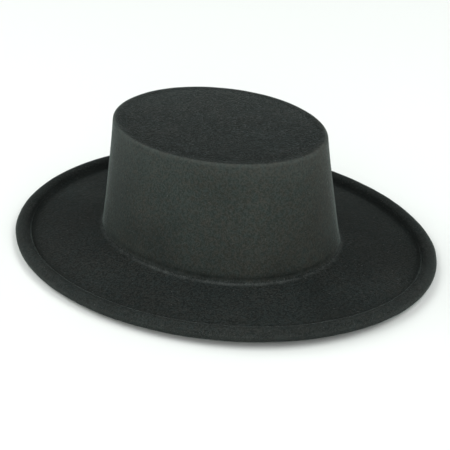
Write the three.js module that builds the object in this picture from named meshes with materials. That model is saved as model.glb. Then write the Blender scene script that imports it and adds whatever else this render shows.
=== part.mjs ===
// A flat-crowned, wide-brimmed felt hat. Crown, brim and rolled edge are pressed from one piece of felt.
// Millimetres, +Z up. The hat rests on the plane Z = 0, the origin is under the middle of its brim, and the
// wearer would face -Y.

import * as THREE from 'three';

// Sizes over the rolled edge.
const hatLength = 364;
const hatWidth = 307.6;

// The felt, which is equally thick all over.
const feltThickness = 2.4;

// The oval crown, measured outside, at its flat top and at its foot where it meets the brim.
const crownTopLength = 187.8;
const crownTopWidth = 146.6;
const crownFootLength = 208;
const crownFootWidth = 170;
const crownHeight = 89.8;

// How far the crown's wall is hollow between its top and its foot.
const wallHollow = 0.6;

// How far the crown's foot sits behind the middle of the brim, and its top behind its foot.
const crownSetBack = 1.9;
const crownLean = 0.9;

// An oval is narrower towards the wearer's face, by this share of its width.
const crownTaper = 0.027;
const brimTaper = 0.015;

// How full an oval is between its ends and its sides: 2 is an ellipse, and more is nearer to a rectangle.
const crownTopFullness = 2;
const crownFootFullness = 2.09;
const brimFullness = 2.03;

// How much felt each bend takes up on either side of its corner.
const topEdgeBend = 2.2;
const topInsideBend = 1.2;
const footBend = 3;
const mouthBend = 6;

// The brim falls from the crown's foot to the rolled edge, and sags a little between the two.
const brimDrop = 6.1;
const brimSag = 0.7;

// The hollow inside the rolled edge, and the gap between the felt's raw edge and the brim below it.
const rollHollowWidth = 7.4;
const rollHollowHeight = 5.4;
const rollGap = 1;

// The brim's edge isn't quite level. It waves up and down by this much, twice as it goes round, and is highest
// at this angle from the wearer's left towards the back of the head, in degrees, and opposite.
const brimWave = 1.65;
const waveAngle = 63;

// How finely the round shapes are divided.
const ringSteps = 76;
const bendSteps = 4;
const wallSteps = 4;
const brimSteps = 4;
const rollOutsideSteps = 13;
const rollInsideSteps = 9;

const rollHalfWidth = rollHollowWidth / 2 + feltThickness;
const rollHalfHeight = rollHollowHeight / 2 + feltThickness;

// The height of the brim's wave at an angle in radians.
function waveAt(angle) {
  return brimWave * Math.cos(2 * (angle - waveAngle * THREE.MathUtils.DEG2RAD));
}

// The angle of one step round the hat. The first step is at the front.
function stepAngle(step) {
  return (step / ringSteps) * 2 * Math.PI - Math.PI / 2;
}

// The lowest place of the wave, where the hat touches what it rests on.
function lowestWave() {
  let lowest = Infinity;
  for (let step = 0; step < ringSteps; step += 1) {
    lowest = Math.min(lowest, waveAt(stepAngle(step)));
  }
  return lowest;
}

// The felt is described by rings. Each has half its width and length, its height over the underside of the
// rolled edge, how far back its centre lies, its taper and fullness, and how much of the wave it follows.
const crownFoot = {
  halfWidth: crownFootWidth / 2,
  halfLength: crownFootLength / 2,
  height: feltThickness + brimDrop,
  setBack: crownSetBack,
  taper: crownTaper,
  fullness: crownFootFullness,
  wave: 0,
};
const crownTop = {
  halfWidth: crownTopWidth / 2,
  halfLength: crownTopLength / 2,
  height: crownFoot.height + crownHeight,
  setBack: crownSetBack + crownLean,
  taper: crownTaper,
  fullness: crownTopFullness,
  wave: 0,
};
const rollCentre = {
  halfWidth: hatWidth / 2 - rollHalfWidth,
  halfLength: hatLength / 2 - rollHalfWidth,
  height: rollHalfHeight,
  setBack: 0,
  taper: brimTaper,
  fullness: brimFullness,
  wave: 1,
};
const brimEnd = { ...rollCentre, height: feltThickness };
const brimReach = brimEnd.halfWidth - crownFoot.halfWidth;

// The ring that lies further out than another, and higher.
function grown(ring, outwards, upwards) {
  return {
    ...ring,
    halfWidth: ring.halfWidth + outwards,
    halfLength: ring.halfLength + outwards,
    height: ring.height + upwards,
  };
}

// The ring that lies a share of the way from one ring to another.
function between(from, to, share) {
  const ring = {};
  for (const size of Object.keys(from)) {
    ring[size] = THREE.MathUtils.lerp(from[size], to[size], share);
  }
  return ring;
}

// A share that is greatest, 1, halfway between two rings, and 0 at both.
function sagShare(share) {
  return 4 * share * (1 - share);
}

// The brim's top face at a share of the way from the crown's foot to the rolled edge.
function brimRing(share) {
  return grown(between(crownFoot, brimEnd, share), 0, -brimSag * sagShare(share));
}

// The rings of a rounded corner: a curve that leaves one ring towards the corner and ends at the other ring.
function bend(from, corner, to) {
  const rings = [];
  for (let step = 0; step <= bendSteps; step += 1) {
    const share = step / bendSteps;
    rings.push(between(between(from, corner, share), between(corner, to, share), share));
  }
  return rings;
}

// One face of the crown, from the middle of its flat top down its wall to where one face of the brim begins.
function crownRings(top, foot, edgeBend, baseBend, brimStart) {
  const wallLength = Math.hypot(foot.halfWidth - top.halfWidth, foot.height - top.height);
  const wallRing = (share) => grown(between(top, foot, share), -wallHollow * sagShare(share), 0);
  const wallStart = edgeBend / wallLength;
  const wallEnd = 1 - baseBend / wallLength;
  const topMiddle = { ...top, halfWidth: 0, halfLength: 0 };
  const topEdge = between(top, topMiddle, edgeBend / top.halfWidth);
  const rings = [topMiddle, ...bend(topEdge, top, wallRing(wallStart))];
  for (let step = 1; step < wallSteps; step += 1) {
    rings.push(wallRing(THREE.MathUtils.lerp(wallStart, wallEnd, step / wallSteps)));
  }
  rings.push(...bend(wallRing(wallEnd), foot, brimStart));
  return rings;
}

// One face of the brim, between the bend at the crown's foot and the rolled edge.
function brimRings(startShare, upwards) {
  const rings = [];
  for (let step = 1; step < brimSteps; step += 1) {
    const share = THREE.MathUtils.lerp(startShare, 1, step / brimSteps);
    rings.push(grown(brimRing(share), 0, upwards));
  }
  return rings;
}

// One face of the rolled edge, from under the roll, round its outside and over it to the raw edge.
function rollRings(halfWidth, halfHeight, endAngle, steps) {
  const rings = [];
  for (let step = 0; step <= steps; step += 1) {
    const angle = THREE.MathUtils.lerp(-Math.PI / 2, endAngle, step / steps);
    rings.push(grown(rollCentre, halfWidth * Math.cos(angle), halfHeight * Math.sin(angle)));
  }
  return rings;
}

// The crown outside, and inside, where the felt's thickness moves it in and down.
const outsideRings = crownRings(crownTop, crownFoot, topEdgeBend, footBend, brimRing(footBend / brimReach));
const insideRings = crownRings(
  grown(crownTop, -feltThickness, -feltThickness),
  grown(crownFoot, -feltThickness, -feltThickness),
  topInsideBend,
  mouthBend,
  grown(brimRing(mouthBend / brimReach), 0, -feltThickness),
);

// The roll ends where its raw edge hangs over the brim by the gap. The edge itself is a little rounded.
const rawEdgeHeight = brimRing(1 - rollHalfWidth / brimReach).height + rollGap;
const rollEnd = Math.PI + Math.asin((rollHalfHeight - rawEdgeHeight) / rollHalfHeight);
const midHalfWidth = rollHalfWidth - feltThickness / 2;
const midHalfHeight = rollHalfHeight - feltThickness / 2;
const rawEdgeAngle = rollEnd + feltThickness / 4 / midHalfWidth;
const rawEdge = grown(
  rollCentre,
  midHalfWidth * Math.cos(rawEdgeAngle),
  midHalfHeight * Math.sin(rawEdgeAngle),
);

// The felt's whole section, from under the crown's top down the inside, out below the brim, round the roll
// and back over the brim and up the outside of the crown.
const feltSection = [
  ...insideRings,
  ...brimRings(mouthBend / brimReach, -feltThickness),
  ...rollRings(rollHalfWidth, rollHalfHeight, rollEnd, rollOutsideSteps),
  rawEdge,
  ...rollRings(rollHollowWidth / 2, rollHollowHeight / 2, rollEnd, rollInsideSteps).reverse(),
  ...brimRings(footBend / brimReach, 0).reverse(),
  ...outsideRings.reverse(),
];

// The place on a ring's oval at an angle in radians.
function placeOn(ring, angle) {
  const across = Math.cos(angle);
  const along = Math.sin(angle);
  const fill = (Math.abs(across) ** ring.fullness + Math.abs(along) ** ring.fullness) ** (-1 / ring.fullness);
  return new THREE.Vector3(
    ring.halfWidth * across * fill * (1 + ring.taper * along * fill),
    ring.halfLength * along * fill + ring.setBack,
    ring.height + ring.wave * waveAt(angle),
  );
}

// A round lathe of the section, whose rings are then pressed into the hat's ovals and set on the ground.
function pressedFelt(section) {
  const roundSection = section.map((ring) => new THREE.Vector2(ring.halfWidth, ring.height));
  const geometry = new THREE.LatheGeometry(roundSection, ringSteps);
  const position = geometry.attributes.position;
  for (let index = 0; index < position.count; index += 1) {
    const ring = section[index % section.length];
    const place = placeOn(ring, stepAngle(Math.floor(index / section.length)));
    position.setXYZ(index, place.x, place.y, place.z);
  }
  geometry.translate(0, 0, -lowestWave());
  geometry.computeVertexNormals();
  return geometry;
}

const blackFelt = new THREE.MeshStandardMaterial({ color: 0x323634, roughness: 0.95, metalness: 0 });
const feltBody = new THREE.Mesh(pressedFelt(feltSection), blackFelt);
feltBody.name = 'felt_body';

const hat = new THREE.Group();
hat.add(feltBody);

export default hat;
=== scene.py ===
# %% [markdown]
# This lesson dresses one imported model: a black felt hat with a flat oval crown, a wide brim and an edge
# that is rolled up and over. The real hat is a single piece of wool felt, steamed, pulled over a block and
# pressed. So there is one form to model and one material to get right, and the look is in small things:
# the nap, the worn lines where the felt bends, and the way black felt goes pale where light grazes it.
# Left and right are as seen from in front of the hat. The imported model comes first, because every size is
# taken from it.

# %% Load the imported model
import math

import bpy
import numpy as np
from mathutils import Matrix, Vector, noise


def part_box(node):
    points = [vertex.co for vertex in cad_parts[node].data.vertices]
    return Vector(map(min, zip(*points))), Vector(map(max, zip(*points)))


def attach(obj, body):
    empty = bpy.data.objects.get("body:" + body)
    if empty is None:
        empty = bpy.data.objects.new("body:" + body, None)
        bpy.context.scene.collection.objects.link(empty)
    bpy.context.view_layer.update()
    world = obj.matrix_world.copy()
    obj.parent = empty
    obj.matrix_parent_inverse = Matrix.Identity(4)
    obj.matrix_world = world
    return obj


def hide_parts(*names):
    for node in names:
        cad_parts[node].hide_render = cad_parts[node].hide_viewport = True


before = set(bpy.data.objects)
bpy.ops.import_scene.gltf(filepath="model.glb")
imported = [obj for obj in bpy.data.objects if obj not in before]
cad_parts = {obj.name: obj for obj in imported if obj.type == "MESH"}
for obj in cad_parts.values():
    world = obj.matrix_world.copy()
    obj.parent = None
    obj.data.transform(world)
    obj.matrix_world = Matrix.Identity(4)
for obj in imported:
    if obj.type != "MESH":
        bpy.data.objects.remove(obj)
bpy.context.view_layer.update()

MM = 0.001
low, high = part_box("felt_body")
hat_width = high[0] - low[0]
hat_length = high[1] - low[1]
hat_height = high[2] - low[2]
print(f"The hat is {hat_width:.4f} m wide, {hat_length:.4f} m long and {hat_height:.4f} m high.")

# %% [markdown]
# The outline comes from a few sizes that a hatter would know: the crown's top and foot, the felt's
# thickness, the fall of the brim and the thickness of the rolled edge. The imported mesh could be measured
# for them, ring by ring. They are written here instead, in metres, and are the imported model's own, so the
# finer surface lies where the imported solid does. It differs in two places, because the real felt looks so
# there: the bend at the crown's foot is tighter, and the roll's raw edge is closed, which is what the
# roll's end and seat are for. The hat's length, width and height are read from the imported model.

# %% The sizes of the hat
FELT = 2.4 * MM
CROWN_TOP = (146.6 * MM, 187.8 * MM)
CROWN_FOOT = (170 * MM, 208 * MM)
CROWN_HEIGHT = 89.8 * MM
WALL_HOLLOW = 0.6 * MM
SET_BACK = 1.9 * MM
CROWN_LEAN = 0.9 * MM
CROWN_TAPER = 0.027
BRIM_TAPER = 0.015
TOP_FULLNESS = 2
FOOT_FULLNESS = 2.09
BRIM_FULLNESS = 2.03
BRIM_DROP = 6.1 * MM
BRIM_SAG = 0.7 * MM
ROLL_HOLLOW = (7.4 * MM, 5.4 * MM)
ROLL_END = math.radians(168)
ROLL_SEAT = 3.6 * MM
WAVE_ANGLE = math.radians(63)

roll_half_width = ROLL_HOLLOW[0] / 2 + FELT
roll_half_height = ROLL_HOLLOW[1] / 2 + FELT
foot_height = FELT + BRIM_DROP
brim_wave = hat_height - foot_height - CROWN_HEIGHT
print(f"The brim's edge waves {brim_wave / MM:.2f} mm up and down.")

# %% [markdown]
# Felt that is blocked on ovals is best described by rings. A ring is a whole loop of the surface: half its
# width and length, its height over the roll's underside, how far back it sits, how much it narrows to
# the front, how full its oval is, and how much of the brim's wave it follows. Rings can be mixed, so
# whatever lies between two rings is a ring too. A subdivision surface could also make this form, but then
# its exact place would be hard to hold.

# %% Rings and how they are mixed
def ring(half_width, half_length, height, set_back, taper, fullness, wave):
    """One loop of the felt, as a row of numbers that can be added and scaled."""
    return np.array([half_width, half_length, height, set_back, taper, fullness, wave])


def between(start, end, share):
    """The ring a share of the way from one ring to another."""
    return start + (end - start) * share


def grown(base, outwards, upwards):
    """The ring that lies further out than another, and higher."""
    return base + np.array([outwards, outwards, upwards, 0, 0, 0, 0])


def sag_share(share):
    """1 halfway between two rings, and 0 at both."""
    return 4 * share * (1 - share)


crown_foot = ring(
    CROWN_FOOT[0] / 2, CROWN_FOOT[1] / 2, foot_height,
    SET_BACK, CROWN_TAPER, FOOT_FULLNESS, 0,
)
crown_top = ring(
    CROWN_TOP[0] / 2, CROWN_TOP[1] / 2, foot_height + CROWN_HEIGHT,
    SET_BACK + CROWN_LEAN, CROWN_TAPER, TOP_FULLNESS, 0,
)
roll_centre = ring(
    hat_width / 2 - roll_half_width, hat_length / 2 - roll_half_width, roll_half_height,
    0, BRIM_TAPER, BRIM_FULLNESS, 1,
)
brim_end = grown(roll_centre, 0, FELT - roll_half_height)
brim_reach = brim_end[0] - crown_foot[0]
print(f"The brim is {brim_reach / MM:.1f} mm wide from the crown's foot to the middle of the roll.")

# %% [markdown]
# The felt's section is a list of rings that runs from the middle of the crown's inside, down and out under
# the brim, round the rolled edge, and back over the brim and up to the middle of the flat top. One drawn
# curve could hold it all. Here each stretch keeps its own name and its own number of rings, so a later
# step can ask for the wall or for the roll. Where two faces meet, the felt bends: a curve leaves one face
# towards the corner and ends on the other.

# %% Bends and the brim's faces
def bend(start, corner, end, steps):
    """The rings of a rounded corner, from the start towards the corner and round to the end."""
    shares = np.linspace(0, 1, steps + 1)
    return [between(between(start, corner, s), between(corner, end, s), s) for s in shares]


def brim_ring(share, drop=0):
    """The brim's top face at a share of the way out, or the face that lies below it by drop."""
    return grown(between(crown_foot, brim_end, share), 0, -BRIM_SAG * sag_share(share) - drop)


print(f"Halfway out, the brim's top is {brim_ring(0.5)[2] / MM:.1f} mm over the roll's underside.")

# %% [markdown]
# The crown is blocked: a flat top, a tight bend at its edge, a wall that is a little hollow, and a bend at
# its foot. A bevel modifier would round the bends too, but each has its own size on each face, which
# would take weights edge by edge. So one function makes a face of the crown from its sizes, once for the
# outside and once for the inside, a felt's thickness further in. Bends get many rings, because that is
# where light shows every flat.

# %% The crown's two faces
EDGE_BEND = 2.2 * MM
INSIDE_BEND = 1.2 * MM
FOOT_BEND = 1.5 * MM
MOUTH_BEND = 6.0 * MM
INNERMOST_RING = 0.01
OUTSIDE_STEPS = {"top": 24, "edge": 12, "wall": 34, "foot": 16}
INSIDE_STEPS = {"top": 8, "edge": 4, "wall": 12, "foot": 6}


def crown_stretches(inset, edge_bend, base_bend, brim_drop, steps):
    """The top, its edge, the wall and the foot of one face of the crown, from the middle outwards."""
    top = grown(crown_top, -inset, -inset)
    foot = grown(crown_foot, -inset, -inset)
    wall_length = math.hypot(foot[0] - top[0], foot[2] - top[2])
    top_shares = np.linspace(INNERMOST_RING, 1 - edge_bend / top[0], steps["top"])
    disc = [top * [s, s, 1, 1, 1, 1, 1] for s in top_shares]
    wall_start = edge_bend / wall_length
    wall_end = 1 - base_bend / wall_length
    wall = [
        grown(between(top, foot, s), -WALL_HOLLOW * sag_share(s), 0)
        for s in np.linspace(wall_start, wall_end, steps["wall"] + 1)
    ]
    edge = bend(disc[-1], top, wall[0], steps["edge"])
    base = bend(wall[-1], foot, brim_ring(base_bend / brim_reach, brim_drop), steps["foot"])
    return disc, edge[1:-1], wall, base[1:]


top, top_edge, wall, foot = crown_stretches(0, EDGE_BEND, FOOT_BEND, 0, OUTSIDE_STEPS)
inner_top, inner_edge, inner_wall, mouth = crown_stretches(
    FELT, INSIDE_BEND, MOUTH_BEND, FELT, INSIDE_STEPS
)
print(f"The crown's outside has {len(top + top_edge + wall + foot)} rings.")

# %% [markdown]
# The brim is one gentle sheet from the crown's foot to the edge, where the felt goes on: out, up, over and
# back in. On the real hat the raw edge of this roll is pressed down on the brim, so that no gap shows, only
# a soft valley. A tube laid on the brim would be quicker, but it would meet the felt in a hard line. So the
# roll is the same surface, and the valley is one more bend.

# %% The brim and its rolled edge
BRIM_STEPS = 24
CREASE_STEPS = 12
UNDERSIDE_STEPS = 12
ROLL_STEPS = 46
SEAT_STEPS = 12
CREASE_WIDTH = 4 * MM

underside_shares = np.linspace(MOUTH_BEND / brim_reach, 1, UNDERSIDE_STEPS)
underside = [brim_ring(s, FELT) for s in underside_shares]
roll_angles = np.linspace(-math.pi / 2, ROLL_END, ROLL_STEPS + 1)
roll = [
    grown(roll_centre, roll_half_width * math.cos(a), roll_half_height * math.sin(a))
    for a in roll_angles
]
seat_start = 1 - (roll_half_width + ROLL_SEAT) / brim_reach
seat_corner = 1 - roll_half_width / brim_reach
crease_start = (FOOT_BEND + CREASE_WIDTH) / brim_reach
far_brim = np.linspace(seat_start, crease_start, BRIM_STEPS)
near_brim = np.linspace(crease_start, FOOT_BEND / brim_reach, CREASE_STEPS)
brim = [brim_ring(s) for s in [*far_brim, *near_brim[1:]]]
roll_seat = bend(roll[-1], brim_ring(seat_corner), brim[0], SEAT_STEPS)
print(f"The roll has {len(roll)} rings and the brim's top {len(brim)}.")

# %% [markdown]
# Joined end to end, the stretches are the whole section. Where two of them share a ring, one leaves it out,
# or the mesh would have two points in one place. Points that double could also be merged afterwards, but
# then the mesh would no longer be a tidy grid of rows and columns.

# %% The whole section, by name
stretches = {
    "inner_top": inner_top,
    "inner_edge": inner_edge,
    "inner_wall": inner_wall,
    "mouth": mouth,
    "underside": underside[1:-1],
    "roll": roll,
    "roll_seat": roll_seat[1:],
    "brim": brim[1:],
    "foot": foot[::-1][1:],
    "wall": wall[::-1],
    "top_edge": top_edge[::-1],
    "top": top[::-1],
}
section = np.concatenate(list(stretches.values()))
stretch_of = np.repeat(list(stretches), [len(rows) for rows in stretches.values()])
print(f"The section has {len(section)} rings in {len(stretches)} stretches.")

# %% [markdown]
# Now the rings are swept round. A screw modifier would do this for a round hat. Here each ring is an oval
# with its own taper and fullness, and the rings of the brim rise and fall with the wave, so every point is
# worked out. Doing that on whole grids of numbers at once is fast, where a loop over a hundred thousand
# points would be slow.

# %% Sweep the rings round into a grid of points
ANGLE_STEPS = 448
angles = np.linspace(0, 2 * math.pi, ANGLE_STEPS, endpoint=False)


def ring_points(rows):
    """The points of each ring, as a grid of rings by angles."""
    half_width, half_length, height, set_back, taper, fullness, wave = (c[:, None] for c in rows.T)
    across = np.cos(angles)
    along = np.sin(angles)
    fill = (np.abs(across) ** fullness + np.abs(along) ** fullness) ** (-1 / fullness)
    x = half_width * across * fill * (1 + taper * along * fill)
    y = half_length * along * fill + set_back
    z = height + brim_wave * (1 + wave * np.cos(2 * (angles - WAVE_ANGLE)))
    return np.stack([x, y, z], axis=-1)


def grid_normals(grid):
    """The outward direction at each point of a grid, from its neighbours on both sides."""
    round_the_hat = np.roll(grid, -1, axis=1) - np.roll(grid, 1, axis=1)
    down_the_section = np.gradient(grid, axis=0)
    outward = np.cross(round_the_hat, down_the_section)
    return outward / np.linalg.norm(outward, axis=-1, keepdims=True)


smooth = ring_points(section)
normals = grid_normals(smooth)
ring_gaps = np.hypot(*np.diff(section[:, [0, 2]], axis=0).T)
path = np.concatenate([[0], np.cumsum(ring_gaps)])
print(f"The grid has {smooth.shape[0]} by {smooth.shape[1]} points.")
print(f"The section is {path[-1] / MM:.0f} mm long.")

# %% [markdown]
# A blocked hat is never perfectly true, because steam and the iron leave the felt a little uneven. A bump
# map could fake that, but it shows in the outline and in the shadows, so it is moved into the mesh, as a
# small height along the surface. The heights come from smooth noise in three sizes. Later steps use the
# same noise, so that wear and colour follow the same lumps.

# %% The felt's own unevenness
def cloud(size, seed):
    """Smooth noise from -1 to 1 at each point of the grid, with lumps of about this size."""
    places = smooth.reshape(-1, 3) / size + seed
    values = np.array([noise.noise(Vector(place)) for place in places])
    return values.reshape(smooth.shape[:-1])


def hill(distance, width):
    """A smooth hill that is 1 where the distance is 0 and fades over the width."""
    return np.exp(-((distance / width) ** 2))


patchy = cloud(38 * MM, 3.1)
lumpy = cloud(13 * MM, 7.7)
fine = cloud(4 * MM, 1.9)
print(f"The unevenness has lumps from {patchy.min():.2f} to {patchy.max():.2f}.")

# %% [markdown]
# Blocking also leaves lines that follow the bends. Each could be sculpted by hand, but as a hill at a known
# distance from a bend it stays with that bend. So the next step measures the distance of every ring from
# the crown's edge, from the crease at its foot and from the roll's seat. A distance is positive further
# along the section: up the wall, and from there inwards over the flat top. On the roll the turn is easier
# to think in: -90 degrees under it, 0 on its outer side, 90 on its crest, and more on its inner side.

# %% Distances from the bends
OFF_THE_ROLL = -200.0


def place_in(stretch, share):
    """The place along the section at a share of the way through a stretch."""
    inside = path[stretch_of == stretch]
    return inside[0] + (inside[-1] - inside[0]) * share


crease_at = place_in("foot", 0.45)
from_crease = (path - crease_at)[:, None]
from_edge = (path - place_in("top_edge", 0.5))[:, None]
from_seat = (path - place_in("roll_seat", 0.62))[:, None]
roll_turn = np.degrees(roll_angles)
turn_at = np.full((len(section), 1), OFF_THE_ROLL)
turn_at[stretch_of == "roll", 0] = roll_turn
on_roll = (stretch_of == "roll")[:, None]
on_top = (stretch_of == "top")[:, None]
outside_names = ["roll", "roll_seat", "brim", "foot", "wall", "top_edge", "top"]
outside = np.isin(stretch_of, outside_names)[:, None]
print(f"The crease lies {crease_at / MM:.1f} mm along the section.")

# %% [markdown]
# The flat top has a soft welt just inside its edge, where the felt was pulled over the block, and a shallow
# dip inside that. The cord that ties the crown to the block leaves a groove near its foot with a pinched
# line beside it. It grips hardest at the front left and opposite, at the back right, and hardly at all
# between. The roll was pressed flat a little above its outer ridge, and its raw edge lies on the brim in a
# fine line. Every line below reads alike: how high, where and how wide, and how uneven.

# %% Welts and grooves that blocking leaves
GRIP_ANGLE = math.radians(-133)
gripped = 0.5 + 0.5 * np.cos(2 * (angles - GRIP_ANGLE))

welt = 0.30 * MM * hill(from_edge - 2.6 * MM, 1.6 * MM) * (0.8 + 0.7 * lumpy)
dip = -0.30 * MM * hill(from_edge - 6.5 * MM, 3.0 * MM) * (0.8 + 0.8 * patchy)
cord_groove = (
    -0.30 * MM
    * hill(from_crease - 2.8 * MM, 1.6 * MM)
    * (0.1 + 0.9 * gripped)
    * (1 + 0.5 * lumpy)
)
pinch = 0.14 * MM * hill(from_crease + 0.5 * MM, 1.2 * MM) * gripped * (0.9 + 0.5 * fine)
outer_ridge = hill(turn_at - 12, 9)
pressed_band = hill(turn_at - 62, 30)
roll_form = MM * (0.16 * outer_ridge * (1 + lumpy) - 0.20 * pressed_band)
seat_line = -0.14 * MM * hill(from_seat, 0.9 * MM) * (1 + 0.8 * lumpy)
roll_lumps = on_roll * (0.10 * MM * lumpy + 0.04 * MM * fine)
sway = 0.16 * MM * patchy + 0.05 * MM * lumpy + 0.02 * MM * fine
lines = welt + dip + cord_groove + pinch + roll_form + seat_line
relief = sway + outside * lines + roll_lumps
points = smooth + normals * relief[..., None]
print(f"The relief runs from {relief.min() / MM:.2f} to {relief.max() / MM:.2f} mm.")

# %% [markdown]
# Pressing and handling change the colour as well as the form, and some light and shade is painted into the
# colour too. A surface texture can't tell by itself where the felt was bent, so the next steps work out
# numbers from 0 to 1 for every point, and the mesh carries them to the material. A painted map could do the
# same, but it would need a flat layout of the hat. The first three say where the felt is ironed smooth,
# where the brim keeps its nap, and where the roll is stretched. Front and sides are counted from the front
# left, where the cord grips hardest, and the painted light and shade below are also set by them.

# %% Which felt is pressed, napped or rolled
def softly_on(names):
    """1 on these stretches and 0 on the others at every point, with a soft step between them."""
    chosen = np.isin(stretch_of, names).astype(float)
    return np.convolve(chosen, np.ones(3) / 3, mode="same")[:, None] * np.ones(ANGLE_STEPS)


at_the_front = 0.5 + 0.5 * np.cos(angles - GRIP_ANGLE)
at_the_sides = np.sin(angles - GRIP_ANGLE) ** 2
pressed = softly_on(["wall", "top_edge"])
brim_nap = softly_on(["underside", "roll", "roll_seat", "brim"])
rolled = hill(turn_at - 20, 70) * (1 - 0.6 * at_the_sides)
roll_inside = hill(turn_at - 125, 40)
print(f"{pressed.mean():.0%} of the points are pressed.")

# %% [markdown]
# Felt is rubbed pale where it stands out or was pinched: along the crease and on the crown's edge, and the
# wall has a paler band below the edge. The crease line is paler where it faces front left and back right,
# partly wear and partly painted highlight. The roll's outer side is rubbed pale and carries painted sheen,
# strongest at the hat's left and right, and at the front a painted highlight along its ridge and over the
# roll. The flat top is painted lighter towards the back right, a painted sheen. Wear could come from the
# mesh's own sharpness, but a black hat wears more where it is held, which no form shows.

# %% Where the felt is rubbed pale, with painted sheen and highlights
BACK_RIGHT = (0.75, 0.66)
TOP_REACH = 90 * MM
to_the_back_right = (BACK_RIGHT[0] * smooth[..., 0] + BACK_RIGHT[1] * smooth[..., 1]) / TOP_REACH

# Partly wear and partly painted highlight: the crease line is paler where it faces front left and back
# right.
crease_wear_and_light = (0.42 + 0.58 * gripped) * (0.54 + 0.35 * fine + 0.4 * patchy)
crease_wear_and_highlight = hill(from_crease + 0.5 * MM, 1.6 * MM) * crease_wear_and_light
worn_edge = hill(from_edge + 0.3 * MM, 1.5 * MM) * (0.16 + 0.1 * fine + 0.16 * lumpy)
under_edge = 0.12 * hill(from_edge + 6 * MM, 7 * MM) * (1 + patchy) * pressed
# Partly rubbing and partly a painted highlight along the roll's ridge at the front.
ridge_wear_and_highlight = outer_ridge * (0.08 + 0.1 * fine) * at_the_front
# Partly rubbing and partly painted sheen on the roll's outer side, strongest at the hat's left and right.
rim_wear_and_sheen = (
    hill(turn_at + 5, 28)
    * (0.14 + 0.07 * lumpy + 0.05 * fine)
    * (0.6 + 0.8 * at_the_sides)
)
# Painted sheen on the roll's outer side at the hat's left and right.
roll_side_sheen = hill(turn_at - 8, 36) * (0.13 + 0.06 * lumpy) * at_the_sides ** 2
# Painted light over the roll at the front.
roll_front_light = 0.09 * on_roll * at_the_front * (1 + 0.4 * lumpy) * (1 - roll_inside)
# Painted sheen: the flat top is lighter towards the back right.
top_sheen = 0.13 * on_top * np.clip(to_the_back_right, 0, 1)
wear_and_highlight_lines = np.maximum(crease_wear_and_highlight, worn_edge)
wear_and_sheen_areas = [under_edge, ridge_wear_and_highlight, rim_wear_and_sheen, roll_front_light, top_sheen, roll_side_sheen]
worn = np.clip(wear_and_highlight_lines + sum(wear_and_sheen_areas), 0, 1)
print(f"{(worn > 0.3).mean():.1%} of the points are worn.")

# %% [markdown]
# The opposite is painted shade: the groove above the crease, the dip inside the crown's edge and the valley
# behind the roll are darkened in the colour, and so is the roll's inner side, where the painted shade also
# dims the thin line of sheen that its bend catches. The lamps alone would darken such places too little,
# because real nap swallows light that the smooth skin of a mesh sends on.

# %% Painted shade in the hollows
# All of this mark is painted shade.
shade_crease = hill(from_crease - 3.8 * MM, 2.1 * MM) * (0.26 + 0.4 * gripped + 0.4 * fine)
shade_edge = hill(from_edge - 4.6 * MM, 2.2 * MM) * (0.5 + 0.8 * lumpy + 0.4 * patchy)
seat_depth = 0.12 + (1 - at_the_front) ** 1.6
shade_seat = hill(from_seat + 0.6 * MM, 3.0 * MM) * (0.8 + 0.3 * lumpy) * seat_depth
shade_crest = 0.5 * hill(turn_at - 140, 30) * (1 + 0.4 * lumpy) * (1 - at_the_sides)
shade_inside = 0.85 * hill(turn_at - 148, 14) * (1 + 0.4 * lumpy) * at_the_sides
shade = np.clip(shade_crease + shade_edge + shade_seat + shade_crest + shade_inside, 0, 1)
print(f"{(shade > 0.3).mean():.1%} of the points stay dark.")

# %% [markdown]
# The black is also deeper in broad patches. Some are tone that differs at random, as felt takes dye
# unevenly, and some are painted shade: towards the foot of the wall, over the back of the brim and on the
# roll's inner side at the back. The flat top is painted lighter towards the back right, a painted sheen, and
# two soft darker patches lie on the wall. Noise alone is the usual way to make patches. Here it is the
# ground, and the patches that have a place of their own are added to it. The last number says where the
# black leans to a cooler one.

# %% Deeper patches, painted shade and cooler black
PATCH_HEIGHT = 0.3

wall_height = crown_top[2] - crown_foot[2]
climb = from_crease / wall_height
# Painted shade: darker towards the foot of the wall.
down_the_wall = pressed * np.clip(1 - climb, 0, 1)


def wall_patch(turned, height, spread, depth):
    """A darker patch on the wall, turned by degrees from the front left, at a share of its height."""
    beside = np.cos(angles - GRIP_ANGLE - math.radians(turned))
    round_the_wall = np.exp((beside - 1) / math.radians(spread) ** 2 * 2)
    return depth * pressed * round_the_wall * hill(climb - height, PATCH_HEIGHT)


wall_patches = wall_patch(-50, 0.28, 24, 0.5) + wall_patch(45, 0.55, 17, 0.45)
mottle = cloud(55 * MM, 12.3) + 0.8 * cloud(24 * MM, 5.4)
# Painted shade over the back of the brim and on the roll's inner side at the back.
at_the_back = (0.8 * brim_nap + 0.3 * roll_inside * (1 - at_the_front)) * (1 - at_the_front)
dim = np.clip(
    0.3
    + 0.8 * mottle * (1 - 0.45 * pressed)
    # Painted sheen: the flat top is lighter towards the back right.
    - 0.4 * on_top * to_the_back_right
    + 0.6 * down_the_wall
    - 0.2 * pressed
    + at_the_back
    + wall_patches,
    0, 1,
)
leftwards = np.clip(-np.sin(angles - GRIP_ANGLE), 0, 1)
cool = np.clip(0.4 + 0.7 * cloud(34 * MM, 9.2) + 0.6 * leftwards * pressed, 0, 1)
print(f"The felt is dimmed by {dim.mean():.2f} on average.")

# %% [markdown]
# Blender can build a mesh face by face, but with a hundred thousand of them that is slow. Its arrays can
# also be filled at once, which is what this helper does. It makes every piece of this lesson: the felt,
# the fibres and the table.

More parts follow.
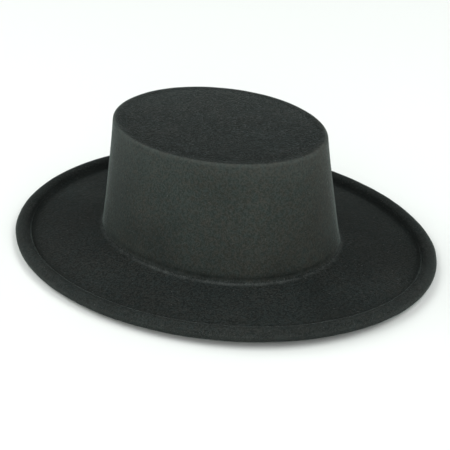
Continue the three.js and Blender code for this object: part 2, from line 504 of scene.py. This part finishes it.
# %% Make a mesh from arrays
def new_mesh(name, vertices, faces, marks=None):
    """A smooth mesh from an array of points and arrays of faces, with numbers on its points."""
    mesh = bpy.data.meshes.new(name)
    sizes = np.concatenate([np.full(len(f), f.shape[1]) for f in faces])
    corners = np.concatenate([f.ravel() for f in faces])
    mesh.vertices.add(len(vertices))
    mesh.vertices.foreach_set("co", vertices.astype(np.float32).ravel())
    mesh.loops.add(len(corners))
    mesh.loops.foreach_set("vertex_index", corners.astype(np.int32))
    mesh.polygons.add(len(sizes))
    mesh.polygons.foreach_set("loop_start", (np.cumsum(sizes) - sizes).astype(np.int32))
    mesh.polygons.foreach_set("use_smooth", np.ones(len(sizes), dtype=bool))
    for mark_name, numbers in (marks or {}).items():
        layer = mesh.attributes.new(mark_name, "FLOAT", "POINT")
        layer.data.foreach_set("value", numbers.astype(np.float32).ravel())
    mesh.update(calc_edges=True)
    mesh.validate()
    piece = bpy.data.objects.new(name, mesh)
    bpy.context.scene.collection.objects.link(piece)
    return piece


print("Meshes can be made from arrays.")

# %% [markdown]
# The grid becomes one closed mesh, because the real hat is one piece of felt with an inside and an outside.
# Each square joins two rings and two angles, and a fan of triangles closes the middle of the flat top and
# of its inside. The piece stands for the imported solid, which stays hidden where it is.

# %% The felt, as one closed piece
def grid_faces(rings, steps):
    """The squares between neighbouring rings of a closed loop of steps, facing out."""
    row, column = np.meshgrid(np.arange(rings - 1), np.arange(steps), indexing="ij")
    here = row * steps + column
    beside = row * steps + (column + 1) % steps
    return np.stack([here, beside, beside + steps, here + steps], axis=-1).reshape(-1, 4)


def fan(middle, first, steps, facing_up):
    """The triangles that close a ring to a middle point."""
    here = first + np.arange(steps)
    beside = first + (np.arange(steps) + 1) % steps
    centre = np.full(steps, middle)
    order = [here, beside, centre] if facing_up else [beside, here, centre]
    return np.stack(order, axis=-1)


rings, steps = points.shape[:2]
middles = np.array([points[0].mean(axis=0), points[-1].mean(axis=0)])
vertices = np.concatenate([points.reshape(-1, 3), middles])
faces = [
    grid_faces(rings, steps),
    fan(rings * steps, 0, steps, False),
    fan(rings * steps + 1, (rings - 1) * steps, steps, True),
]
# The shade mark is painted shade, and the pale and deeper marks also carry painted sheen, highlights and
# shade.
grid_marks = {
    "pressed": pressed,
    "brim_nap": brim_nap,
    "rolled": rolled,
    "worn": worn,
    "shade": shade,
    "dim": dim,
    "cool": cool,
}
marks = {name: np.concatenate([grid.ravel(), [0, 0]]) for name, grid in grid_marks.items()}
felt_hat = new_mesh("felt_hat", vertices, faces, marks)
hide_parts("felt_body")
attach(felt_hat, "root")
triangles = sum(len(f) * (f.shape[1] - 2) for f in faces)
print(f"felt_hat has {triangles} triangles.")

# %% [markdown]
# Shader maths reads best as an expression. The first small class below wraps one output of a node, and each
# operator adds the Math node that works it out, also when a plain number comes first. Colours go through
# Mix nodes instead, because a Math node would turn them grey. Nodes could be added one by one by hand, but
# one method for all of them keeps every finish short.

# %% Shader values that can be written as maths
class Value:
    """An output of a shader node that can be used in an expression."""

    def __init__(self, nodes, socket):
        self.nodes = nodes
        self.socket = socket

    def maths(self, operation, first, second):
        return self.nodes.node("ShaderNodeMath", {"operation": operation}, {0: first, 1: second})

    def __add__(self, other):
        return self.maths("ADD", self, other)

    def __radd__(self, other):
        return self.maths("ADD", other, self)

    def __sub__(self, other):
        return self.maths("SUBTRACT", self, other)

    def __rsub__(self, other):
        return self.maths("SUBTRACT", other, self)

    def __mul__(self, other):
        return self.maths("MULTIPLY", self, other)

    def __rmul__(self, other):
        return self.maths("MULTIPLY", other, self)


print("Values can be added, subtracted and multiplied.")

# %% Nodes that are all added by one method
class Nodes:
    """The nodes of one material or world."""

    def __init__(self, owner):
        owner.use_nodes = True
        self.tree = owner.node_tree
        self.tree.nodes.clear()

    def node(self, kind, settings, inputs, output=0):
        """Adds a node: its settings first, then the numbers or links of its sockets."""
        node = self.tree.nodes.new(kind)
        for name, value in settings.items():
            if name == "stops":
                self.set_stops(node.color_ramp, value)
            else:
                setattr(node, name, value)
        for name, value in inputs.items():
            if isinstance(value, Value):
                self.tree.links.new(value.socket, node.inputs[name])
            else:
                node.inputs[name].default_value = value
        return Value(self, node.outputs[output] if node.outputs else None)

    def set_stops(self, ramp, stops):
        """Gives a colour ramp its stops, as pairs of a place and a shade of grey."""
        while len(ramp.elements) < len(stops):
            ramp.elements.new(0.5)
        for element, (place, grey) in zip(ramp.elements, stops):
            element.position = place
            element.color = (grey, grey, grey, 1)


print("Nodes can be added by one method.")

# %% [markdown]
# A few nodes come again and again in felt: a number that the mesh carries, noise of a given size, a curve
# that sharpens it, and a mix of two colours. A node group could hold each, but a function is easier to read
# and leaves nothing extra in the file.

# %% The nodes that felt needs
# A Mix node has sockets for numbers, vectors and colours. These are the places of its colour ones.
MIX_SHARE = 0
MIX_FIRST = 6
MIX_SECOND = 7
MIX_RESULT = 2
NOISE_DETAIL = 2


def mixed_colours(finish, share, first, second, blend="MIX"):
    """A colour between two colours, or one seen through the other where the blend multiplies."""
    settings = {"data_type": "RGBA", "blend_type": blend}
    inputs = {MIX_SHARE: share, MIX_FIRST: first, MIX_SECOND: second}
    return finish.node("ShaderNodeMix", settings, inputs, output=MIX_RESULT)


def mark_value(finish, name):
    """The number that the mesh carries under this name."""
    return finish.node("ShaderNodeAttribute", {"attribute_name": name}, {}, output="Fac")


def felt_noise(finish, places, size, roughness):
    """Noise with lumps of about this size in metres, from 0 to 1."""
    inputs = {"Vector": places, "Scale": 1 / size, "Detail": NOISE_DETAIL, "Roughness": roughness}
    return finish.node("ShaderNodeTexNoise", {}, inputs, output="Fac")


def sharpened(finish, value, start, end):
    """A value that is 0 up to the start and 1 from the end on."""
    return finish.node("ShaderNodeValToRGB", {"stops": [(start, 0), (end, 1)]}, {"Fac": value})


print("The nodes for felt are ready.")

# %% [markdown]
# Black wool felt isn't one black. Its dye leaves warmer and cooler patches a few millimetres wide, and
# clumps and specks of a millimetre or two show as paler flecks, sparse on the flat top and even on the
# brim. The pressed wall is paler and plainer, and bends are rubbed grey; the same grey also carries the
# painted sheen and highlights, and the painted shade is mixed towards a deeper black. Felt also scatters
# light that grazes it, so it needs sheen, or its outline goes dead. An image of felt would be the quick
# way, but it would show its tiles and need a layout. The grain is too fine for a mesh, so it is bump:
# strongest on the flat top, weaker on the wall and the brim, and weakest on the roll.

# %% The blacks of the felt
TOP_DARK = (0.0024, 0.0028, 0.0026, 1)
TOP_PALE = (0.0264, 0.0300, 0.0286, 1)
BRIM_DARK = (0.0034, 0.0041, 0.0038, 1)
BRIM_PALE = (0.0168, 0.0196, 0.0182, 1)
PRESSED_DARK = (0.0194, 0.0223, 0.0192, 1)
PRESSED_PALE = (0.0360, 0.0411, 0.0358, 1)
WARM_TINT = (1.10, 0.985, 0.95, 1)
COOL_TINT = (0.91, 1.01, 1.05, 1)
# Rubbed felt, and the painted sheen and highlights, are mixed towards this grey.
WEAR_AND_SHEEN_GREY = (0.0600, 0.0680, 0.0640, 1)
# The painted shade and the deeper patches are mixed towards this black.
DYE_AND_SHADE_BLACK = (0.0015, 0.0018, 0.0017, 1)
SHEEN_TINT = (0.80, 1.0, 0.93, 1)


def felt_colour(finish, grains, clumps, hues):
    """The felt's colour: its ground and flecks, its tint, its painted shade and deeper patches, and its
    rubbing and painted sheen.
    """
    pressed = mark_value(finish, "pressed")
    brim_nap = mark_value(finish, "brim_nap")
    sparse = sharpened(finish, grains, 0.49, 0.61)
    flecks = sharpened(finish, grains, 0.43, 0.57)
    top = mixed_colours(finish, sparse, TOP_DARK, TOP_PALE)
    brim = mixed_colours(finish, flecks, BRIM_DARK, BRIM_PALE)
    wall = mixed_colours(finish, flecks, PRESSED_DARK, PRESSED_PALE)
    unpressed = mixed_colours(finish, brim_nap, top, brim)
    ground = mixed_colours(finish, pressed, unpressed, wall)
    cooler = sharpened(finish, 0.84 * hues + 0.16 * mark_value(finish, "cool"), 0.38, 0.62)
    tint = mixed_colours(finish, cooler, WARM_TINT, COOL_TINT)
    tinted = mixed_colours(finish, 1.0, ground, tint, blend="MULTIPLY")
    # Painted shade and the deeper patches.
    darkness = mark_value(finish, "shade") * 0.7 + mark_value(finish, "dim") * 0.36
    shaded = mixed_colours(finish, darkness, tinted, DYE_AND_SHADE_BLACK)
    # Rubbing, painted sheen and painted highlights.
    paling = mark_value(finish, "worn") * (0.3 + 0.9 * clumps)
    return mixed_colours(finish, paling, shaded, WEAR_AND_SHEEN_GREY)


print(f"The felt has {len(grid_marks)} marks to colour it by.")

# %% The felt finish
CLUMP_SIZE = 1.8 * MM
SPECK_SIZE = 1.1 * MM
HUE_SIZE = 3.5 * MM
GRAIN_DEPTH = 0.5 * MM


def felt_finish(name):
    """Black wool felt."""
    material = bpy.data.materials.new(name)
    finish = Nodes(material)
    places = finish.node("ShaderNodeTexCoord", {}, {}, output="Object")
    clumps = felt_noise(finish, places, CLUMP_SIZE, 0.6)
    specks = felt_noise(finish, places, SPECK_SIZE, 0.7)
    hues = felt_noise(finish, places, HUE_SIZE, 0.6)
    pressed = mark_value(finish, "pressed")
    brim_nap = mark_value(finish, "brim_nap")
    rolled = mark_value(finish, "rolled")
    grains = clumps + (specks - clumps) * (0.55 + 0.1 * pressed + 0.35 * rolled)
    clump_height = clumps * (0.5 - 0.35 * rolled)
    speck_height = specks * (0.85 - 0.35 * pressed - 0.35 * brim_nap)
    relief = {"Height": clump_height + speck_height, "Distance": GRAIN_DEPTH, "Strength": 1.0}
    inputs = {
        "Base Color": felt_colour(finish, grains, clumps, hues),
        "Roughness": 0.9 - 0.15 * pressed,
        "Specular IOR Level": 0.17,
        "Specular Tint": SHEEN_TINT,
        "Sheen Weight": 0.275,
        "Sheen Roughness": 0.17,
        "Sheen Tint": SHEEN_TINT,
        "Normal": finish.node("ShaderNodeBump", {}, relief),
    }
    surface = finish.node("ShaderNodeBsdfPrincipled", {}, inputs)
    finish.node("ShaderNodeOutputMaterial", {}, {"Surface": surface})
    return material


felt_hat.data.materials.append(felt_finish("black_felt"))
print("The felt has its finish.")

# %% [markdown]
# Up close, felt is never a clean skin. Loose fibres stand out of it, most of all where it was pinched or
# rubbed. Blender's hair would look right, but it doesn't survive an export as a mesh. So each fibre is a
# small closed sliver here, and needs a place on the uneven felt. Places are drawn with a fixed seed, so
# that every run gives the same hat.

# %% Places on the felt
draw = np.random.default_rng(20)


def unit(vectors):
    """The same directions, each of length 1."""
    return vectors / np.linalg.norm(vectors, axis=-1, keepdims=True)


def felt_at(distance, turn):
    """Points, outward directions and directions round the hat, at distances along the section."""
    row = np.interp(distance, path, np.arange(rings))
    column = turn / (2 * math.pi) * steps
    first_row = np.minimum(row.astype(int), rings - 2)
    first_column = column.astype(int) % steps
    next_column = (first_column + 1) % steps
    along = (row - first_row)[:, None]
    beside = (column - column.astype(int))[:, None]

    def read(grid):
        near = grid[first_row, first_column] * (1 - beside) + grid[first_row, next_column] * beside
        next_row = first_row + 1
        far = grid[next_row, first_column] * (1 - beside) + grid[next_row, next_column] * beside
        return near * (1 - along) + far * along

    around = points[first_row, next_column] - points[first_row, first_column]
    return read(points), unit(read(normals)), unit(around)


crease_point = felt_at(np.array([crease_at]), np.array([0.0]))[0][0]
print(f"At the hat's right the crease is {crease_point[2] / MM:.1f} mm above the table.")

# %% [markdown]
# A real fibre is a hair's breadth thick and a millimetre or two long, and it curls. A flat strip would be
# cheaper, but it has only one side and vanishes when seen along its edge. A thin bent prism of three sides
# keeps its width from every angle. It starts inside the felt, bows up in the middle and ends in a point.

# %% Loose fibres as closed slivers
FIBRE_ROOT = 0.1 * MM
FIBRE_CURL = 0.16
FIBRE_CORNERS = 7
FIBRE_TRIANGLES = 10


def loose_fibres(name, distance, turn, heading, length, thickness, lift):
    """One piece of many fibres: each starts at a place on the felt and lies along a heading."""
    root, outward, around = felt_at(distance, turn)
    across = np.cross(outward, around)
    ahead = unit(around * np.cos(heading)[:, None] + across * np.sin(heading)[:, None])
    aside = np.cross(outward, ahead)
    curl = (draw.normal(0, FIBRE_CURL, len(turn)) * length)[:, None]
    length = length[:, None]
    lift = lift[:, None]

    def slice_at(centre, radius):
        turns = np.radians([90, 210, 330])
        sideways = np.cos(turns)[None, :, None] * aside[:, None, :]
        up = np.sin(turns)[None, :, None] * outward[:, None, :]
        return centre[:, None, :] + radius[:, None, None] * (sideways + up)

    start = slice_at(root - outward * FIBRE_ROOT, thickness / 2)
    bow = root + ahead * length * 0.5 + outward * lift + aside * curl * 0.5
    middle = slice_at(bow, thickness * 0.4)
    tip = root + ahead * length - aside * curl + outward * lift * 0.3
    corners = np.concatenate([start, middle, tip[:, None, :]], axis=1)
    first = (np.arange(len(turn)) * FIBRE_CORNERS)[:, None, None]
    caps = first + np.array([[2, 1, 0]])
    sides = first + np.array([[k, (k + 1) % 3, (k + 1) % 3 + 3, k + 3] for k in range(3)])
    tips = first + np.array([[k + 3, (k + 1) % 3 + 3, FIBRE_CORNERS - 1] for k in range(3)])
    fibre_faces = [caps.reshape(-1, 3), sides.reshape(-1, 4), tips.reshape(-1, 3)]
    piece = new_mesh(name, corners.reshape(-1, 3), fibre_faces)
    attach(piece, "root")
    print(f"{name} has {len(turn)} fibres and {len(turn) * FIBRE_TRIANGLES} triangles.")
    return piece


print(f"Each fibre has {FIBRE_CORNERS} corners and {FIBRE_TRIANGLES} triangles.")

# %% [markdown]
# Along the crease and on the roll's outer side the fibres were pulled up by the cord and by rubbing. They
# lie mostly along the line, one way or the other, and there are more of them where the cord gripped.
# Scattering them evenly and hiding some would waste mesh, so only the ones that are kept are made.

# %% Fibres along the crease and the roll
def roll_place(degrees):
    """The place along the section where the roll has turned by this much."""
    return path[stretch_of == "roll"][np.argmin(abs(roll_turn - degrees))]


def fibres_along(name, places, count, spread, heading_spread, length, thickness, lift):
    """Fibres that lie along lines round the hat, at these places along the section."""
    turn = draw.uniform(0, 2 * math.pi, count * 3)
    gripped_there = 0.5 + 0.5 * np.cos(2 * (turn - GRIP_ANGLE))
    turn = turn[draw.uniform(0, 1, count * 3) < gripped_there][:count]
    count = len(turn)
    distance = draw.choice(places, count) + draw.normal(0, spread, count)
    heading = draw.normal(0, heading_spread, count) + math.pi * draw.integers(0, 2, count)
    lengths = draw.uniform(0.5, 1.3, count) * length
    thicknesses = draw.uniform(0.7, 1.3, count) * thickness
    lifts = draw.uniform(0.3, 1.2, count) * lift
    return loose_fibres(name, distance, turn, heading, lengths, thicknesses, lifts)


crease_fibres = fibres_along(
    "crease_fibres", [crease_at - 0.4 * MM], count=1500, spread=0.8 * MM, heading_spread=0.9,
    length=1.4 * MM, thickness=0.06 * MM, lift=0.3 * MM,
)
roll_fibres = fibres_along(
    "roll_fibres", [roll_place(12)], count=3000, spread=1.6 * MM, heading_spread=1.2,
    length=1.4 * MM, thickness=0.05 * MM, lift=0.25 * MM,
)

# %% [markdown]
# The rest of the nap lies every way. Just inside the roll's crest it is made thick and dark as painted
# shade: it hides the thin line of light that a bare bend would catch. Everywhere else on the outside it is
# sparse. Places drawn evenly along the section would crowd in the middle of the flat top, where the rings
# are small. So a place is kept the more often, the larger its ring is.

# %% Nap on the roll's inner side and all over
CREST_FIBRES = 9000
NAP_FIBRES = 12000
NAP_START = 12


def nap(name, distance, turn, lengths, thicknesses, lifts):
    """Fibres that lie every way, with each size drawn between its least and its most in mm."""
    count = len(distance)
    heading = draw.uniform(0, 2 * math.pi, count)
    length = draw.uniform(*lengths, count) * MM
    thickness = draw.uniform(*thicknesses, count) * MM
    lift = draw.uniform(*lifts, count) * MM
    return loose_fibres(name, distance, turn, heading, length, thickness, lift)


crest_turn = draw.uniform(0, 2 * math.pi, CREST_FIBRES)
crest_places = roll_place(130) + draw.normal(0, 1.8 * MM, CREST_FIBRES)
crest_fibres = nap(
    "crest_fibres", crest_places, crest_turn, (0.8, 1.8), (0.06, 0.12), (0.06, 0.3)
)

nap_start = path[stretch_of == "roll"][NAP_START]
nap_places = draw.uniform(nap_start, path[-1], NAP_FIBRES * 3)
ring_size = np.interp(nap_places, path, section[:, 0]) / section[:, 0].max()
nap_places = nap_places[draw.uniform(0, 1, len(nap_places)) < ring_size][:NAP_FIBRES]
nap_turn = draw.uniform(0, 2 * math.pi, len(nap_places))
nap_fibres = nap("nap_fibres", nap_places, nap_turn, (0.8, 2.4), (0.05, 0.1), (0.04, 0.3))

# %% [markdown]
# Fibres are too thin for a pattern of their own, but they aren't all alike: most took the dye and are grey,
# a few are pale and a few brown, and those on the roll's inner side are nearly all dark, as painted shade
# there. A colour that varies along the piece could do this too. Four plain finishes are simpler, and each
# fibre gets one of them by chance.

# %% Fibre finishes
FIBRE_ROUGHNESS = 0.7
FIBRE_GLOSS = 0.2


def plain_finish(name, colour, roughness, gloss):
    """A matt finish of one colour all over."""
    material = bpy.data.materials.new(name)
    finish = Nodes(material)
    inputs = {"Base Color": colour, "Roughness": roughness, "Specular IOR Level": gloss}
    surface = finish.node("ShaderNodeBsdfPrincipled", {}, inputs)
    finish.node("ShaderNodeOutputMaterial", {}, {"Surface": surface})
    return material


def fibre_finish(name, colour):
    """The finish of one kind of fibre."""
    return plain_finish(name, colour, FIBRE_ROUGHNESS, FIBRE_GLOSS)


def dye_fibres(piece, finishes, shares):
    """Gives each fibre of a piece one of the finishes, by their shares."""
    for finish in finishes:
        piece.data.materials.append(finish)
    count = len(piece.data.vertices) // FIBRE_CORNERS
    kinds = draw.choice(len(finishes), count, p=shares)
    per_face = np.concatenate([kinds, np.repeat(kinds, 3), np.repeat(kinds, 3)])
    piece.data.polygons.foreach_set("material_index", per_face.astype(np.int32))


grey_fibre = fibre_finish("grey_fibre", (0.050, 0.057, 0.054, 1))
pale_fibre = fibre_finish("pale_fibre", (0.150, 0.160, 0.152, 1))
brown_fibre = fibre_finish("brown_fibre", (0.075, 0.070, 0.060, 1))
dark_fibre = fibre_finish("dark_fibre", (0.010, 0.0115, 0.0108, 1))
# The dark fibres on the roll's inner side stand in for shade.
dye_fibres(crest_fibres, [grey_fibre, dark_fibre], [0.15, 0.85])
dye_fibres(crease_fibres, [grey_fibre, pale_fibre, brown_fibre], [0.65, 0.27, 0.08])
dye_fibres(roll_fibres, [grey_fibre, pale_fibre, brown_fibre], [0.8, 0.08, 0.12])
dye_fibres(nap_fibres, [grey_fibre, pale_fibre, brown_fibre], [0.7, 0.08, 0.22])
print("The fibres are dyed.")

# %% [markdown]
# The hat rests on a pale table of a slightly green grey, which is large enough that its edge stays out of
# the camera's view. A curved backdrop would hide the horizon in low views, but it would also throw light
# back from one side only.

# %% The table
TABLE_SIZE = 4.6
TABLE_COLOUR = (0.69, 0.72, 0.70, 1)
TABLE_ROUGHNESS = 0.9
TABLE_GLOSS = 0.5

reach = TABLE_SIZE / 2
table_corners = np.array([
    [-reach, -reach, 0], [reach, -reach, 0], [reach, reach, 0], [-reach, reach, 0],
])
table = new_mesh("table", table_corners, [np.array([[0, 1, 2, 3]])])
table.data.materials.append(
    plain_finish("pale_table", TABLE_COLOUR, TABLE_ROUGHNESS, TABLE_GLOSS)
)
print(f"The table is {TABLE_SIZE} m square.")

# %% [markdown]
# Black felt shows its form only by what it reflects, so the lamps matter as much as the material. One bright
# world would be the simplest light, but it would turn the black to grey and leave no shadow. So seven large
# soft lamps stand to the front and sides, low ones for the wall and high ones for the flat top, and a faint
# one behind throws the short shadow at the front. The world is white only to the camera and nearly dark to
# the hat.

# %% Soft light
CAMERA_AZIMUTH = math.radians(-43.0)
LAMP_DISTANCE = 3.2
LAMP_SIZE = 2.0
ROOM_GLOW = 0.04


def direction_to(around, elevation):
    """The direction from the hat to a place round it and up, both in radians."""
    level = math.cos(elevation)
    return Vector((math.sin(around) * level, -math.cos(around) * level, math.sin(elevation)))


def soft_lamp(name, turn, elevation, power):
    """A large square lamp that faces the hat, at degrees round from the camera to its right and up."""
    direction = direction_to(CAMERA_AZIMUTH + math.radians(turn), math.radians(elevation))
    data = bpy.data.lights.new(name, "AREA")
    data.shape = "SQUARE"
    data.size = LAMP_SIZE
    data.energy = power
    lamp = bpy.data.objects.new(name, data)
    lamp.location = direction * LAMP_DISTANCE
    lamp.rotation_euler = direction.to_track_quat("Z", "Y").to_euler()
    lamp.visible_camera = False
    bpy.context.scene.collection.objects.link(lamp)


soft_lamp("left_lamp", -114, 28, 44)
soft_lamp("high_left_lamp", -85, 60, 38)
soft_lamp("front_left_lamp", -50, 38, 26)
soft_lamp("low_front_lamp", 0, 18, 53)
soft_lamp("front_right_lamp", 50, 42, 34)
soft_lamp("high_right_lamp", 85, 60, 41)
soft_lamp("low_right_lamp", 120, 18, 27)
soft_lamp("back_lamp", 180, 42, 20)

room = bpy.data.worlds.new("white_room")
room_nodes = Nodes(room)
to_the_camera = room_nodes.node("ShaderNodeLightPath", {}, {}, output="Is Camera Ray")
strength = ROOM_GLOW + (1 - ROOM_GLOW) * to_the_camera
backdrop = room_nodes.node(
    "ShaderNodeBackground", {}, {"Color": (1, 1, 1, 1), "Strength": strength}
)
room_nodes.node("ShaderNodeOutputWorld", {}, {"Surface": backdrop})
bpy.context.scene.world = room
print(f"The room is lit by {len(bpy.data.lights)} lamps.")

# %% [markdown]
# The camera is to the front and left of the hat, about a metre away, and looks down by 26 degrees. A short
# lens close by would spread the near side of the brim, and the ovals would no longer look true, so a long
# lens is used. The azimuth turns round the hat, with 0 looking at its front.

# %% The camera
ELEVATION = math.radians(25.96)
AIM = Vector((-0.0079, -0.0121, 0.0196))
DISTANCE = 0.9774
LENS_MM = 98.45
SENSOR_MM = 36

camera_data = bpy.data.cameras.new("camera")
camera_data.sensor_width = SENSOR_MM
camera_data.lens = LENS_MM
camera = bpy.data.objects.new("camera", camera_data)
camera.location = AIM + direction_to(CAMERA_AZIMUTH, ELEVATION) * DISTANCE
camera.rotation_euler = (math.pi / 2 - ELEVATION, 0, CAMERA_AZIMUTH)
bpy.context.scene.collection.objects.link(camera)
bpy.context.scene.camera = camera
bpy.context.scene.view_settings.view_transform = "Standard"
print(f"The camera stands at {tuple(round(c, 3) for c in camera.location)}.")
